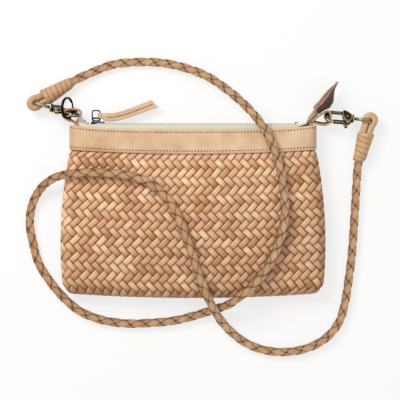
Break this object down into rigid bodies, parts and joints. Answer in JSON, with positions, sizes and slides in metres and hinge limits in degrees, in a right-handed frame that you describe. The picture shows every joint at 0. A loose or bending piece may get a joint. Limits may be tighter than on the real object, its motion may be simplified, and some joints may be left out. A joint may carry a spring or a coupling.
{
  "type": "woven leather zip clutch with a braided strap",
  "caption": "Flat pouch of bias-woven leather strips with a smooth band, a zip and a long braided strap clipped to both ends.",
  "frame": {"origin": "middle of the rear band's outer face, on the surface that the bag lies on", "axes": "+X to the right along the zip, +Y up past the zip, +Z out of the front"},
  "size_m": [0.3529, 0.2994, 0.0436],
  "materials": {
    "woven_leather": "waxed strips, satin",
    "veg_tan_leather": "smooth grain, satin",
    "braided_leather": "braided lace, satin",
    "cotton_tape": "woven herringbone tape",
    "gunmetal": "dark plated, semi-gloss",
    "antique_brass": "aged, polished on high spots",
    "black_steel": "black, glossy"
  },
  "bodies": {
    "bag": {"woven_body": "woven_leather", "front_band": "veg_tan_leather", "rear_band": "veg_tan_leather", "zip_tape_front": "cotton_tape", "zip_tape_rear": "cotton_tape", "zip_teeth_front": "gunmetal", "zip_teeth_rear": "gunmetal", "zip_stops": "gunmetal", "zip_tail": "cotton_tape", "zip_end_tab": "veg_tan_leather", "left_tab": "veg_tan_leather", "right_tab": "veg_tan_leather", "left_eye": "antique_brass", "right_eye": "antique_brass", "strap": "braided_leather", "left_strap_loop": "braided_leather", "right_strap_loop": "braided_leather", "left_binding": "braided_leather", "right_binding": "braided_leather"},
    "slider": {"zip_slider": "gunmetal"},
    "pull_ring": {"pull_ring": "gunmetal"},
    "pull": {"zip_pull": "veg_tan_leather"},
    "key_ring": {"key_ring": "black_steel"},
    "left_hook": {"left_hook": "antique_brass", "left_gate_pin": "antique_brass"},
    "left_gate": {"left_gate": "antique_brass"},
    "right_hook": {"right_hook": "antique_brass", "right_gate_pin": "antique_brass"},
    "right_gate": {"right_gate": "antique_brass"}
  },
  "joints": [
    {"name": "zip_slide", "type": "slide", "parent": "bag", "child": "slider", "axis": [1, 0, 0], "range_m": [0, 0.135]},
    {"name": "pull_ring_hinge", "type": "hinge", "parent": "slider", "child": "pull_ring", "pos_m": [-0.097, 0.02135, 0.012], "axis": [0.7071, 0, -0.7071], "range_deg": [-35, 10]},
    {"name": "pull_hinge", "type": "hinge", "parent": "pull_ring", "child": "pull", "pos_m": [-0.09322, 0.02645, 0.00822], "axis": [0, 1, 0], "range_deg": [-55, 0]},
    {"name": "key_ring_swing", "type": "hinge", "parent": "bag", "child": "key_ring", "pos_m": [-0.1254, 0.02365, 0.0166], "axis": [0, 0, 1], "range_deg": [-5, 5]},
    {"name": "left_swivel", "type": "hinge", "parent": "bag", "child": "left_hook", "pos_m": [-0.1139, 0.02665, 0.011], "axis": [-0.9641, 0.2656, 0], "range_deg": [-1, 6]},
    {"name": "left_gate_hinge", "type": "hinge", "parent": "left_hook", "child": "left_gate", "pos_m": [-0.13589, 0.03115, 0.0166], "axis": [0.2565, 0.9312, 0.2588], "range_deg": [0, 14], "stiffness_Nm_per_rad": 0.02},
    {"name": "right_swivel", "type": "hinge", "parent": "bag", "child": "right_hook", "pos_m": [0.13115, 0.0259, 0.011], "axis": [0.9965, -0.0837, 0], "range_deg": [-8, 1]},
    {"name": "right_gate_hinge", "type": "hinge", "parent": "right_hook", "child": "right_gate", "pos_m": [0.15314, 0.02008, 0.01524], "axis": [-0.0612, -0.7288, -0.682], "range_deg": [0, 20], "stiffness_Nm_per_rad": 0.02}
  ]
}
